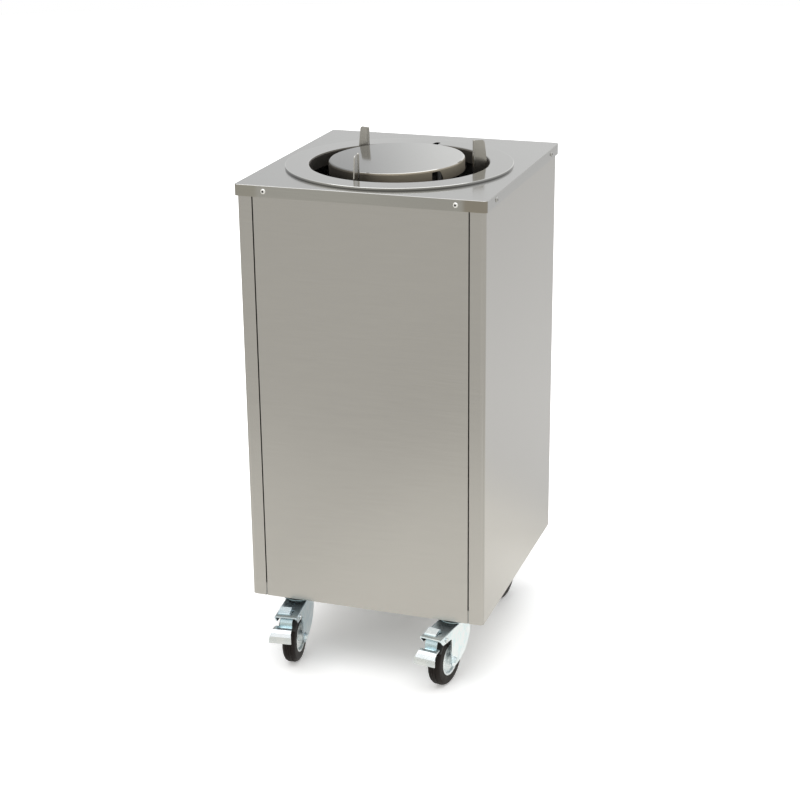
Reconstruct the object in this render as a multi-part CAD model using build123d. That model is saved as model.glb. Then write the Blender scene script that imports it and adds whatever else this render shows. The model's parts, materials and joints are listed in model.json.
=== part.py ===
"""Heated plate dispenser cabinet: one spring-lifted stack in a steel cabinet on four casters.

The cabinet stands on the floor at z = 0, its front faces -Y, and x = 0 is its middle.
All lengths are in millimetres.
"""
from build123d import *
import os
from math import cos, sin, radians, degrees, hypot, atan2

os.makedirs("parts", exist_ok=True)

# cabinet
BODY_W = 450.0
BODY_D = 480.0
BODY_BOTTOM = 134.0
LID_TOP = 919.0
SHEET = 1.5
CORNER_R = 7.5
RETURN_W = 27.5
SEAM = 2.0
FLANGE = 10.0
LID_OVERHANG = 3.5
LIP_H = 20.5
Y_SHIFT = 24.7

# well
WELL_X = -1.0
WELL_Y = -19.5
WELL_R = 162.0
RING_R = 206.0
RING_H = 5.0
COLLAR_DEPTH = 20.0
PAN_R = 123.0
PAN_SKIRT = 23.0
PAN_TOP = 13.1
PAN_TILT = 1.1
PAN_PITCH = 1.0
PAN_OFFSET = -5.0
STRUT = 225.0

# plate guide fins
FIN_TOP = 44.5
FIN_BOTTOM = -470.0
FIN_R = 130.5
FIN_SHIFT = 1.6
FIN_TWIST = (16.0, 21.0, 16.0)
FIN_AZ = (15.5, 134.8, 255.0)
FIN_ROD_R = 3.5
FIN_ARM = 29.5

# lift guides
COLUMN_AZ = (75.0, 195.0, 315.0)
COLUMN_R = WELL_R + 14.0
COLUMN_ROD_R = 6.0
SPRING_TURN = 8.0

# casters
SWIVEL_X = BODY_W / 2 - 71.5
SWIVEL_Y = BODY_D / 2 - 52.5
WHEEL_R = 50.0
WHEEL_W = 25.0
RIM_R = 31.0
TRAIL = 38.0
FORK_TOP = 116.0
FORK_HALF = 21.0
FORK_T = 2.5
KING_R = 6.0
MOUNT_TOP = 130.0
REST_ANGLE = {"fl": -6.4, "fr": 9.1, "rl": 5.0, "rr": 8.0}

RUN = 0.05

SHELL_TOP = LID_TOP - SHEET
HALF_W = BODY_W / 2
HALF_D = BODY_D / 2
SEAM_X = HALF_W - RETURN_W


def box(x0, x1, y0, y1, z0, z1):
    """Block between six planes."""
    return Pos((x0 + x1) / 2, (y0 + y1) / 2, (z0 + z1) / 2) * Box(x1 - x0, y1 - y0, z1 - z0)


def rod(r, z0, z1, x=0.0, y=0.0):
    """Upright round bar."""
    return Pos(x, y, (z0 + z1) / 2) * Cylinder(r, z1 - z0)


def pipe(r_out, r_in, z0, z1, x=0.0, y=0.0):
    """Upright tube."""
    return rod(r_out, z0, z1, x, y) - rod(r_in, z0 - 1, z1 + 1, x, y)


def lying(r, length, axis):
    """Round bar along X or Y, centred on the origin."""
    turn = Rot(0, 90, 0) if axis == "x" else Rot(90, 0, 0)
    return turn * Cylinder(r, length)


def slab(w, d, r, z0, z1):
    """Upright prism with rounded corners."""
    return extrude(Pos(0, 0, z0) * RectangleRounded(w, d, r), z1 - z0)


def spun(points):
    """Solid turned about the z axis from (radius, z) points."""
    face = Face(Wire.make_polygon([(r, 0, z) for r, z in points], close=True))
    return Part() + revolve(face, Axis.Z)


def prism_x(points, x0, x1):
    """Prism along X from (y, z) points."""
    face = Face(Wire.make_polygon([(x0, y, z) for y, z in points], close=True))
    return Part() + Solid.extrude(face, Vector(x1 - x0, 0, 0))


def prism_y(points, y0, y1):
    """Prism along Y from (x, z) points."""
    face = Face(Wire.make_polygon([(x, y0, z) for x, z in points], close=True))
    return Part() + Solid.extrude(face, Vector(0, y1 - y0, 0))


def strip(points, t):
    """Outline of a bent sheet of thickness t whose middle follows the points."""
    left = []
    right = []
    last = len(points) - 1
    for i, (x, y) in enumerate(points):
        x0, y0 = points[max(i - 1, 0)]
        x1, y1 = points[min(i + 1, last)]
        ax, ay = x - x0, y - y0
        bx, by = x1 - x, y1 - y
        la = hypot(ax, ay) or 1.0
        lb = hypot(bx, by) or 1.0
        nx = -(ay / la + by / lb)
        ny = ax / la + bx / lb
        ln = hypot(nx, ny)
        nx, ny = nx / ln, ny / ln
        ref = (-by / lb, bx / lb) if i < last else (-ay / la, ax / la)
        half = t / 2 / (nx * ref[0] + ny * ref[1])
        left.append((x + nx * half, y + ny * half))
        right.append((x - nx * half, y - ny * half))
    return left + right[::-1]


def polar(r, az):
    """Plan position at a radius and azimuth about the middle of the well."""
    return WELL_X + r * cos(radians(az)), WELL_Y + r * sin(radians(az))


RIVET_Z = LID_TOP - 10.0
RIVET_R = 2.0
SCREW_R = 1.5
RIVET_X = HALF_W - 51.4
RIVET_Y = HALF_D - 54.0
SCREW_X = HALF_W - 14.0
CONTROL_Z = 300.0
PLATE_SPOTS = [(sx * 102, CONTROL_Z + sz * 27) for sx in (-1, 1) for sz in (-1, 1)]
PANEL_SPOTS = [(sx * SCREW_X, z) for sx in (-1, 1) for z in (200, 400, 600, 800)]


def drilled(part):
    """The same part with the lid rivet holes and the back screw holes made in it."""
    for s in (-1, 1):
        part -= Pos(s * RIVET_X, 0, RIVET_Z) * lying(RIVET_R, BODY_D + 60, "y")
        part -= Pos(0, s * RIVET_Y, RIVET_Z) * lying(RIVET_R, BODY_W + 60, "x")
    for x, z in PLATE_SPOTS + PANEL_SPOTS:
        part -= Pos(x, BODY_D / 2, z) * lying(SCREW_R, 20, "y")
    return part


def save(name, *solids):
    """Write one node, shifted so that the frame's origin is the middle of the footprint."""
    moved = [Pos(0, Y_SHIFT, 0) * s for s in solids]
    pieces = []
    for part in moved:
        pieces += part.solids()
    export_step(Compound(label=name, children=pieces), f"parts/{name}.step")


# ---------------------------------------------------------------- outer shells
wall = slab(BODY_W, BODY_D, CORNER_R, BODY_BOTTOM, SHELL_TOP)
wall -= slab(BODY_W - 2 * SHEET, BODY_D - 2 * SHEET, CORNER_R - SHEET, BODY_BOTTOM - 1, SHELL_TOP + 1)
FLANGE_Z = BODY_BOTTOM + 28.0
for side, name in ((-1, "left_side_shell"), (1, "right_side_shell")):
    inner, outer = side * SEAM_X, side * (HALF_W + 1)
    lo, hi = min(inner, outer), max(inner, outer)
    shell = wall & box(lo, hi, -HALF_D - 1, HALF_D + 1, BODY_BOTTOM, SHELL_TOP)
    fx = sorted((side * SEAM_X, side * (SEAM_X + SHEET)))
    for end in (-1, 1):
        fy = sorted((end * (HALF_D - 0.5), end * (HALF_D - FLANGE)))
        shell += box(fx[0], fx[1], fy[0], fy[1], FLANGE_Z, SHELL_TOP)
    bends = shell.edges().filter_by(Axis.Z)
    bends = [e for e in bends if abs(abs(e.center().Y) - HALF_D) < 0.01 and abs(abs(e.center().X) - SEAM_X) < 0.01]
    shell = fillet(bends, 1.0)
    save(name, drilled(shell))

# ---------------------------------------------------------------- front and back panels
PANEL_X = SEAM_X - SEAM


def panel(end):
    """Flat panel with its two edges bent inwards."""
    y = sorted((end * HALF_D, end * (HALF_D - SHEET)))
    sheet = box(-PANEL_X, PANEL_X, y[0], y[1], BODY_BOTTOM, SHELL_TOP)
    for side in (-1, 1):
        fx = sorted((side * PANEL_X, side * (PANEL_X - SHEET)))
        fy = sorted((end * (HALF_D - 0.5), end * (HALF_D - FLANGE)))
        sheet += box(fx[0], fx[1], fy[0], fy[1], FLANGE_Z, SHELL_TOP)
    edges = sheet.edges().filter_by(Axis.Z)
    edges = [e for e in edges if abs(abs(e.center().Y) - HALF_D) < 0.01 and abs(abs(e.center().X) - PANEL_X) < 0.01]
    return fillet(edges, 1.0)


save("front_panel", drilled(panel(-1)))

KNOB_X, SWITCH_X, LAMP_X = -60.0, 20.0, 75.0
GLAND_X, GLAND_Z = HALF_W - 85.0, BODY_BOTTOM + 56.0
back = panel(1)
for row in range(2):
    for i in range(9):
        x = -96 + 24 * i
        z = 770 + 60 * row
        slot = box(x - 3, x + 3, HALF_D - 5, HALF_D + 5, z, z + 40)
        slot += Pos(x, HALF_D, z) * lying(3, 10, "y")
        slot += Pos(x, HALF_D, z + 40) * lying(3, 10, "y")
        back -= slot
back -= Pos(KNOB_X, HALF_D, CONTROL_Z) * lying(5, 20, "y")
back -= box(SWITCH_X - 14, SWITCH_X + 14, HALF_D - 5, HALF_D + 5, CONTROL_Z - 10.5, CONTROL_Z + 10.5)
back -= Pos(LAMP_X, HALF_D, CONTROL_Z) * lying(6, 20, "y")
back -= Pos(GLAND_X, HALF_D, GLAND_Z) * lying(8, 20, "y")
save("back_panel", drilled(back))

# ---------------------------------------------------------------- lid with hemmed lip
lid_w = BODY_W + 2 * LID_OVERHANG
lid_d = BODY_D + 2 * LID_OVERHANG
lid = slab(lid_w, lid_d, 6.0, LID_TOP - LIP_H, LID_TOP)
top_edges = lid.edges().filter_by(lambda e: abs(e.center().Z - LID_TOP) < 0.01)
lid = fillet(top_edges, 1.2)
lid -= slab(BODY_W, BODY_D, CORNER_R, LID_TOP - LIP_H - 1, SHELL_TOP)
lid -= rod(WELL_R + 3.5, LID_TOP - 5, LID_TOP + 5, WELL_X, WELL_Y)
groove = slab(lid_w - 3.2, lid_d - 3.2, 5.0, LID_TOP - LIP_H - 1, LID_TOP - 5)
groove -= slab(lid_w - 4.2, lid_d - 4.2, 4.6, LID_TOP - LIP_H - 2, LID_TOP - 4)
lid -= groove
rivet_spots = []
for x in (-RIVET_X, RIVET_X):
    for end in (-1, 1):
        rivet_spots.append((x, end * (HALF_D + LID_OVERHANG), 0, end))
for y in (-RIVET_Y, RIVET_Y):
    for side in (-1, 1):
        rivet_spots.append((side * (HALF_W + LID_OVERHANG), y, side, 0))
rivets = []
for x, y, sx, sy in rivet_spots:
    head = spun([(0, 0), (4.65, 0), (4.65, 0.6), (3.9, 1.5), (2.4, 2.1), (1.5, 2.2), (1.4, 1.2), (0, 1.0)])
    head += rod(RIVET_R, -LID_OVERHANG - SHEET - 1.5, 0.01)
    head += rod(3.2, -LID_OVERHANG - SHEET - 2.5, -LID_OVERHANG - SHEET)
    turn = degrees(atan2(sy, sx))
    rivets.append(Pos(x, y, RIVET_Z) * Rot(0, 0, turn) * Rot(0, 90, 0) * head)
save("lid_rivets", *rivets)

# ---------------------------------------------------------------- well ring on the lid
t = SHEET
ring = spun([
    (RING_R, LID_TOP), (RING_R, LID_TOP + RING_H - 0.5), (RING_R - 0.5, LID_TOP + RING_H),
    (WELL_R + 3.0, LID_TOP + RING_H),
    (WELL_R + 0.9, LID_TOP + RING_H - 0.9), (WELL_R, LID_TOP + RING_H - 3.0),
    (WELL_R, LID_TOP - COLLAR_DEPTH), (WELL_R + t, LID_TOP - COLLAR_DEPTH),
    (WELL_R + t, LID_TOP + RING_H - 3.0), (WELL_R + 3.0, LID_TOP + RING_H - t),
    (RING_R - t, LID_TOP + RING_H - t), (RING_R - t, LID_TOP),
])
NOTCH_AZ = 84.5
NOTCH_END = WELL_R + 13.0
notch = box(WELL_R - 12, NOTCH_END, -5.5, 5.5, -2.2, RING_H + 1) + rod(5.5, -2.2, RING_H + 1, NOTCH_END, 0)
ring = Pos(WELL_X, WELL_Y, 0) * ring
ring -= Pos(WELL_X, WELL_Y, LID_TOP) * Rot(0, 0, NOTCH_AZ) * notch
save("well_ring", ring)

# ---------------------------------------------------------------- hanger ring and brackets under the lid
HANG_TOP = SHELL_TOP
HANG_T = 3.0
HANG_Z = HANG_TOP - HANG_T
hanger = pipe(WELL_R + 33.0, WELL_R + 6.0, HANG_Z, HANG_TOP, WELL_X, WELL_Y)
save("hanger_ring", hanger)

EAR_Z = LID_TOP - 31.0
EAR_R = WELL_R + 14.0
fin_pivots = []
brackets = []
for az, twist in zip(FIN_AZ, FIN_TWIST):
    x, y = polar(FIN_R, az)
    px = x + FIN_SHIFT + FIN_ARM * cos(radians(az + twist))
    py = y + FIN_ARM * sin(radians(az + twist))
    fin_pivots.append((px, py))
    paz = degrees(atan2(py - WELL_Y, px - WELL_X))
    pr = hypot(px - WELL_X, py - WELL_Y)
    ear = box(pr, EAR_R + 3, -9, 9, EAR_Z, EAR_Z + 3) + rod(9, EAR_Z, EAR_Z + 3, pr, 0)
    ear += box(EAR_R, EAR_R + 3, -9, 9, EAR_Z, HANG_Z)
    ear += box(EAR_R, EAR_R + 18, -9, 9, HANG_Z - 3, HANG_Z)
    ear -= rod(FIN_ROD_R + RUN, EAR_Z - 1, EAR_Z + 4, pr, 0)
    brackets.append(Pos(WELL_X, WELL_Y, 0) * Rot(0, 0, paz) * ear)
save("fin_brackets", *brackets)

PAN_FLOOR = BODY_BOTTOM + SHEET
sockets = []
for px, py in fin_pivots:
    cup = spun([(0, 0), (13, 0), (13, 2), (8, 3), (8, 15), (FIN_ROD_R + RUN, 15), (FIN_ROD_R + RUN, 3), (0, 3)])
    sockets.append(Pos(px, py, PAN_FLOOR) * cup)
save("fin_sockets", *sockets)

# ---------------------------------------------------------------- turning plate guide fins
ROD_TOP = EAR_Z + 8.0
for i, az in enumerate(FIN_AZ):
    px, py = fin_pivots[i]
    s = FIN_ARM - FIN_ROD_R + 0.5
    z = LID_TOP
    outline = [
        (2.0, z + FIN_TOP), (17.0, z + FIN_TOP), (19.4, z + FIN_TOP - 0.8), (21.0, z + FIN_TOP - 2.4),
        (21.9, z + FIN_TOP - 5.0), (s - 0.2, z + RING_H),
        (s, z - 8), (s, EAR_Z + 6), (FIN_ARM - 12, EAR_Z + 6), (FIN_ARM - 12, EAR_Z - 3), (s, EAR_Z - 3),
        (s, z + FIN_BOTTOM + 20), (s - 12, z + FIN_BOTTOM), (2.0, z + FIN_BOTTOM),
    ]
    blade = prism_y(outline, -1, 1)
    blade += rod(2.5, z + FIN_BOTTOM, z + FIN_TOP - 1.0, 2.5, 0)
    blade += Pos(2.5, 0, z + FIN_TOP - 1.0) * Sphere(2.5)
    spindle = rod(FIN_ROD_R, PAN_FLOOR + 3.0, ROD_TOP, FIN_ARM, 0)
    spindle += rod(6.0, EAR_Z + 3.3, EAR_Z + 6.0, FIN_ARM, 0)
    x, y = polar(FIN_R, az)
    place = Pos(x + FIN_SHIFT, y, 0) * Rot(0, 0, az + FIN_TWIST[i])
    save(f"guide_fin_{i + 1}", place * (blade + spindle))

# ---------------------------------------------------------------- guide columns, lift platform and carrier
columns = []
for az in COLUMN_AZ:
    cx, cy = polar(COLUMN_R, az)
    columns.append(rod(COLUMN_ROD_R, PAN_FLOOR, HANG_Z, cx, cy))
save("guide_columns", *columns)

PAN_T = 1.5
tilt = Pos(WELL_X + PAN_OFFSET, WELL_Y, LID_TOP + PAN_TOP) * Rot(PAN_PITCH, -PAN_TILT, 0)
platform = spun([
    (0, 0), (PAN_R - 4.0, 0), (PAN_R - 2.0, -0.55), (PAN_R - 0.55, -2.0), (PAN_R, -4.0),
    (PAN_R, -PAN_SKIRT), (PAN_R - PAN_T, -PAN_SKIRT), (PAN_R - PAN_T, -4.4),
    (PAN_R - 3.2, -2.6), (PAN_R - 5.0, -PAN_T), (0, -PAN_T),
])
CUT_AZ = -41.1
CUT_R = 24.0
cut = Pos(0, 0, -PAN_SKIRT) * Rot(0, 90, 0) * Cylinder(CUT_R, 20, align=(Align.CENTER, Align.CENTER, Align.MIN))
cut &= box(0, 20, 0, CUT_R, -PAN_SKIRT - 1, -5.0)
platform -= Rot(0, 0, CUT_AZ) * Pos(PAN_R - 8, 0, 0) * cut
save("lift_platform", tilt * platform)

SPIDER_Z = LID_TOP - STRUT
cxp = WELL_X + PAN_OFFSET
post = rod(18, SPIDER_Z + 6, LID_TOP + 20, cxp, WELL_Y) + rod(62, LID_TOP + 2, LID_TOP + 20, cxp, WELL_Y)
post -= tilt * Pos(0, 0, 50 - PAN_T) * Box(400, 400, 100)
post -= rod(15.5, SPIDER_Z + 5, LID_TOP - 4, cxp, WELL_Y)
for k in range(3):
    spoke = radians(30 + 120 * k)
    post -= rod(16, LID_TOP - 4, LID_TOP + 30, cxp + 41 * cos(spoke), WELL_Y + 41 * sin(spoke))
save("carrier_post", post)

spider = rod(40, SPIDER_Z, SPIDER_Z + 6, cxp, WELL_Y)
foot_x = COLUMN_R * cos(radians(SPRING_TURN))
foot_y = COLUMN_R * sin(radians(SPRING_TURN))
for az in COLUMN_AZ:
    arm = box(0, COLUMN_R, -11, 11, SPIDER_Z, SPIDER_Z + 3)
    arm += box(foot_x - 8, foot_x + 8, 0, foot_y, SPIDER_Z, SPIDER_Z + 3) + rod(8, SPIDER_Z, SPIDER_Z + 3, foot_x, foot_y)
    arm += box(0, COLUMN_R - 14, -11, -8, SPIDER_Z, SPIDER_Z + 16)
    arm += box(0, COLUMN_R - 14, 8, 11, SPIDER_Z, SPIDER_Z + 16)
    arm += rod(14, SPIDER_Z, SPIDER_Z + 3, COLUMN_R, 0)
    arm -= rod(9, SPIDER_Z - 1, SPIDER_Z + 4, COLUMN_R, 0)
    arm -= rod(2.2, SPIDER_Z - 1, SPIDER_Z + 4, foot_x, foot_y)
    spider += Pos(WELL_X, WELL_Y, 0) * Rot(0, 0, az) * arm
spider -= rod(15.5, SPIDER_Z - 1, SPIDER_Z + 3, cxp, WELL_Y)
spider -= rod(18, SPIDER_Z + 6, SPIDER_Z + 20, cxp, WELL_Y)
save("carrier_spider", spider)

bushes = []
for az in COLUMN_AZ:
    cx, cy = polar(COLUMN_R, az)
    bush = pipe(9, COLUMN_ROD_R + 0.3, SPIDER_Z - 8, SPIDER_Z + 14, cx, cy)
    bush += pipe(12, COLUMN_ROD_R + 0.3, SPIDER_Z + 3, SPIDER_Z + 6, cx, cy)
    bushes.append(bush)
save("carrier_bushes", *bushes)

SPRING_TOP = HANG_Z - 18.0
springs = []
for az in COLUMN_AZ:
    coil = pipe(7.0, 5.0, SPIDER_Z + 16, SPRING_TOP)
    coil += rod(5.2, SPIDER_Z + 16, SPIDER_Z + 17.5) + rod(5.2, SPRING_TOP - 1.5, SPRING_TOP)
    coil += rod(1.0, SPIDER_Z - 6, SPIDER_Z + 16) + rod(1.0, SPRING_TOP, HANG_Z - 4)
    coil += Pos(0, 0, SPIDER_Z - 6) * Sphere(3.0)
    springs.append(Pos(*polar(COLUMN_R, az + SPRING_TURN), 0) * coil)
save("lift_springs", *springs)

hooks = []
for az in COLUMN_AZ:
    hook = pipe(2.6, 1.0, HANG_Z - 9, HANG_Z - 3) + rod(5, HANG_Z - 3, HANG_Z)
    hooks.append(Pos(*polar(COLUMN_R, az + SPRING_TURN), 0) * hook)
save("spring_hooks", *hooks)

# ---------------------------------------------------------------- liner, insulation, base
LINER_X = HALF_W - 9.0
LINER_F = 12.0 - HALF_D
LINER_B = HALF_D - 50.0
LINER_LOW = BODY_BOTTOM + 28.0
LINER_TOP = SHELL_TOP - 11.5
MAT_LOW = LINER_LOW + 8.0
MAT_TOP = LINER_TOP - 16.0
HEAT_Z = PAN_FLOOR + 40.5
HEAT_R = 105.0
liner = box(-LINER_X, LINER_X, LINER_F, LINER_B, LINER_LOW, LINER_TOP)
liner -= box(-LINER_X + 1, LINER_X - 1, LINER_F + 1, LINER_B - 1, LINER_LOW - 1, LINER_TOP + 1)
for side in (-1, 1):
    liner -= Pos(WELL_X + side * HEAT_R * sin(radians(15)), LINER_B, HEAT_Z) * lying(6, 10, "y")
save("inner_liner", liner)
mats = []
for side in (-1, 1):
    mx = sorted((side * (LINER_X + 0.3), side * (LINER_X + 6.8)))
    mats.append(box(mx[0], mx[1], LINER_F + 13, LINER_B - 10, MAT_LOW, MAT_TOP))
mats.append(box(9.5 - SEAM_X, SEAM_X - 9.5, SHEET + 0.7 - HALF_D, LINER_F - 0.4, MAT_LOW, MAT_TOP))
save("insulation_mats", *mats)

base = slab(BODY_W - 2 * SHEET, BODY_D - 2 * SHEET, CORNER_R - SHEET, BODY_BOTTOM, BODY_BOTTOM + 25)
base -= slab(BODY_W - 4 * SHEET, BODY_D - 4 * SHEET, CORNER_R - 2 * SHEET, PAN_FLOOR, BODY_BOTTOM + 26)
for i in range(5):
    for y in (HALF_D - 28, HALF_D - 12):
        base -= rod(5, BODY_BOTTOM - 1, PAN_FLOOR + 1, -60 + 30 * i, y)
swivel_spots = [(sx * SWIVEL_X, sy * SWIVEL_Y) for sx in (-1, 1) for sy in (-1, 1)]
for x, y in swivel_spots:
    base -= rod(KING_R + 0.2, BODY_BOTTOM - 1, PAN_FLOOR + 1, x, y)
save("base_pan", base)
rails = []
for end in (-1, 1):
    rail = box(20 - HALF_W, HALF_W - 20, end * SWIVEL_Y - 42, end * SWIVEL_Y + 42, MOUNT_TOP, BODY_BOTTOM)
    for x, y in swivel_spots:
        rail -= rod(KING_R + 0.2, MOUNT_TOP - 1, BODY_BOTTOM + 1, x, y)
    rails.append(rail)
save("caster_rails", *rails)
nuts = []
for x, y in swivel_spots:
    nut = rod(14, PAN_FLOOR, PAN_FLOOR + 2.5) + Pos(0, 0, PAN_FLOOR + 2.5) * extrude(RegularPolygon(10.5, 6), 9)
    nut -= rod(KING_R + RUN, PAN_FLOOR - 1, PAN_FLOOR + 13)
    nuts.append(Pos(x, y, 0) * nut)
save("caster_nuts", *nuts)

# ---------------------------------------------------------------- heater
tray = spun([(0, 0), (138, 0), (142, 8), (140.6, 8.4), (137, 1.5), (0, 1.5)])
save("heater_tray", Pos(WELL_X, WELL_Y, PAN_FLOOR) * tray)
loop = CenterArc((WELL_X, WELL_Y, HEAT_Z), HEAT_R, 105, 330)
start = loop @ 0
end_pt = loop @ 1
element = sweep(Plane(origin=start, z_dir=loop % 0) * Circle(4), path=loop)
for pt, tx in ((start, -30.0), (end_pt, 30.0)):
    element += Pos(pt.X, (pt.Y + LINER_B + 14) / 2, HEAT_Z) * lying(4, LINER_B + 14 - pt.Y, "y")
    element += Pos(pt.X, pt.Y, HEAT_Z) * Sphere(4)
save("heater_element", element)
clips = []
for k in range(3):
    hx = WELL_X + HEAT_R * cos(radians(30 + 120 * k + 180))
    hy = WELL_Y + HEAT_R * sin(radians(30 + 120 * k + 180))
    clip = rod(4, PAN_FLOOR + 1.5, HEAT_Z - 4, 0, 0) + rod(8, PAN_FLOOR + 1.5, PAN_FLOOR + 3.5, 0, 0)
    clip += rod(7, HEAT_Z - 7, HEAT_Z - 4, 0, 0)
    clips.append(Pos(hx, hy, 0) * clip)
save("heater_clips", *clips)

# ---------------------------------------------------------------- electrics on the back
terminal = box(-48, 46, LINER_B + 14.5, LINER_B + 32, HEAT_Z - 11, HEAT_Z + 11)
for side in (-1, 1):
    terminal += box(side * 44 - 4, side * 44 + 2, LINER_B, LINER_B + 16, HEAT_Z - 11, HEAT_Z + 11)
for i in range(4):
    x = -37 + 24 * i
    terminal -= rod(3, HEAT_Z + 5, HEAT_Z + 12, x, LINER_B + 23)
for side in (-1, 1):
    tx = WELL_X + side * HEAT_R * sin(radians(15))
    terminal += Pos(tx, LINER_B + 14, HEAT_Z) * (lying(7, 4, "y") - lying(4, 6, "y"))
save("terminal_block", terminal)

BACK = HALF_D
plate = box(-110, 110, BACK, BACK + 1.5, CONTROL_Z - 35, CONTROL_Z + 35)
corners = plate.edges().filter_by(Axis.Y)
plate = fillet(corners, 6)
plate -= Pos(KNOB_X, BACK, CONTROL_Z) * lying(5, 20, "y")
plate -= box(SWITCH_X - 14, SWITCH_X + 14, BACK - 5, BACK + 5, CONTROL_Z - 10.5, CONTROL_Z + 10.5)
plate -= Pos(LAMP_X, BACK, CONTROL_Z) * lying(6, 20, "y")
save("control_plate", drilled(plate))

FACE = BACK + 1.5
pan_head = spun([(0, 2.4), (2.0, 2.2), (3.6, 1.2), (4.0, 0), (1.5, 0), (1.5, -4), (0, -4)])
pan_head -= box(-2.6, 2.6, -0.4, 0.4, 1.4, 3)
pan_head -= box(-0.4, 0.4, -2.6, 2.6, 1.4, 3)
screws = [Pos(x, FACE, z) * Rot(-90, 0, 0) * pan_head for x, z in PLATE_SPOTS]
screws += [Pos(x, BACK, z) * Rot(-90, 0, 0) * pan_head for x, z in PANEL_SPOTS]
save("panel_screws", *screws)

thermo = box(KNOB_X - 17, KNOB_X + 17, BACK - 32, BACK - SHEET, CONTROL_Z - 17, CONTROL_Z + 17)
thermo -= Pos(KNOB_X, BACK - 12, CONTROL_Z) * lying(3.05, 26, "y")
thermo += Pos(KNOB_X, BACK - 36, CONTROL_Z) * lying(9, 8, "y")
save("thermostat", thermo)
KNOB_GAP = 0.5
KNOB_END = FACE + KNOB_GAP + 24.0
knob = spun([(0, 24), (17, 24), (19, 22), (20.5, 4), (23, 3), (23, 0), (19, 0), (19, 2), (6, 2), (6, 0), (0, 0)])
for k in range(12):
    knob -= Rot(0, 0, 30 * k) * Pos(21.6, 0, 0) * rod(2.4, 5, 30)
knob += box(-1.2, 1.2, 6, 18, 23.5, 24.6)
knob += rod(3, BACK - 24.0 - FACE - KNOB_GAP, 1)
save("thermostat_knob", Pos(KNOB_X, FACE + KNOB_GAP, CONTROL_Z) * Rot(-90, 0, 0) * knob)

sx0 = SWITCH_X
case = box(sx0 - 13.5, sx0 + 13.5, BACK - 26, FACE, CONTROL_Z - 10, CONTROL_Z + 10)
case += box(sx0 - 16.5, sx0 + 16.5, FACE, FACE + 2, CONTROL_Z - 13, CONTROL_Z + 13)
case -= box(sx0 - 11.5, sx0 + 11.5, BACK - 12, FACE + 3, CONTROL_Z - 8, CONTROL_Z + 8)
ROCK_Y = FACE - 3.0
ROCK_ANGLE = -8.0
for side in (-1, 1):
    case += Pos(sx0 + side * 9.5, ROCK_Y, CONTROL_Z) * lying(1.5, 4.4, "x")
save("switch_case", case)
rocker = prism_x([(0, -6.4), (4.8, -6.9), (6, -6.2), (4.2, 0), (6, 6.2), (4.8, 6.9), (0, 6.4), (-3, 3), (-3, -3)], -10.6, 10.6)
rocker -= lying(1.5 + RUN, 30, "x")
rocker = Pos(sx0, ROCK_Y, CONTROL_Z) * Rot(ROCK_ANGLE, 0, 0) * rocker
save("switch_rocker", rocker)

lamp = spun([(0, 7), (3, 6.4), (5.2, 4.6), (6.2, 2), (8, 2), (8, 0), (5.9, 0), (5.9, -22), (0, -22)])
save("indicator_lamp", Pos(LAMP_X, FACE, CONTROL_Z) * Rot(-90, 0, 0) * lamp)

gland = spun([(11, 0), (11, 12), (10, 18), (8, 21), (5.2, 21), (5.2, -14), (7.9, -14), (7.9, 0)])
gland += extrude(RegularPolygon(13.5, 6), 6) - rod(5.2, -1, 8)
save("cable_gland", Pos(GLAND_X, BACK, GLAND_Z) * Rot(-90, 0, 0) * gland)

# ---------------------------------------------------------------- casters
# In a caster's own frame the swivel axis is z, the wheel trails towards -Y and its axle lies along X.
PIN_U, PIN_Z = 72.0, 106.0
AXLE_R = 4.0
BOSS_T = 0.5
NUT_T = 3.2


def side_plate(points, s0):
    """Fork side plate from (forward reach, height) points."""
    return prism_x([(-u, z) for u, z in points], s0, s0 + FORK_T)


def fork(braked):
    """Pressed fork: crown disc, two legs and, with a brake, the housing in front."""
    low = FORK_TOP - FORK_T
    rear = [(-24, FORK_TOP), (-27, 95), (-26, 82), (-20, 69), (-13, 59), (-5, 51.5), (10, 43.5), (28, 38.6)]
    rear += [(38, 37.4), (45, 39.6), (49.4, 45), (50.6, 52)]
    if braked:
        front = [(50.2, 94), (51.2, 97.6), (54, 98.8), (86, 101), (96, 112), (96, FORK_TOP)]
        reach = 96
    else:
        front = [(50, 78), (44, FORK_TOP)]
        reach = 44
    body = box(-FORK_HALF, FORK_HALF, -reach, 24, low, FORK_TOP) + rod(28, low, FORK_TOP)
    for s0 in (-FORK_HALF, FORK_HALF - FORK_T):
        body += side_plate(rear + front, s0)
    outer_edges = body.edges().filter_by(Axis.Y)
    outer_edges = [e for e in outer_edges if abs(e.center().Z - FORK_TOP) < 0.01
                   and abs(abs(e.center().X) - FORK_HALF) < 0.01]
    if outer_edges:
        body = fillet(outer_edges, 2.2)
    body += pipe(26, 20, FORK_TOP - 0.5, FORK_TOP + 2.4)
    body -= rod(KING_R + RUN, low - 1, FORK_TOP + 3)
    if braked:
        z = FORK_TOP - 0.2
        body += prism_x([(-64, z), (-64, z + 5.2), (-67, z + 6.4), (-83, z + 2.2), (-86, z + 1.0), (-86, z)], -17.5, 5)
        body -= box(5.5, 9, -88, -64, low - 1, FORK_TOP + 1)
        body -= Pos(0, -PIN_U, PIN_Z) * lying(3 + RUN, 60, "x")
    for s in (-1, 1):
        body += Pos(s * (FORK_HALF + BOSS_T / 2 - 0.1), -TRAIL, WHEEL_R) * lying(8.0, BOSS_T + 0.2, "x")
    body -= Pos(0, -TRAIL, WHEEL_R) * lying(AXLE_R, 60, "x")
    return body


def annulus(points):
    """Wheel section turned about the axle from (radius, side) points."""
    return Rot(0, 90, 0) * spun(points)


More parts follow.
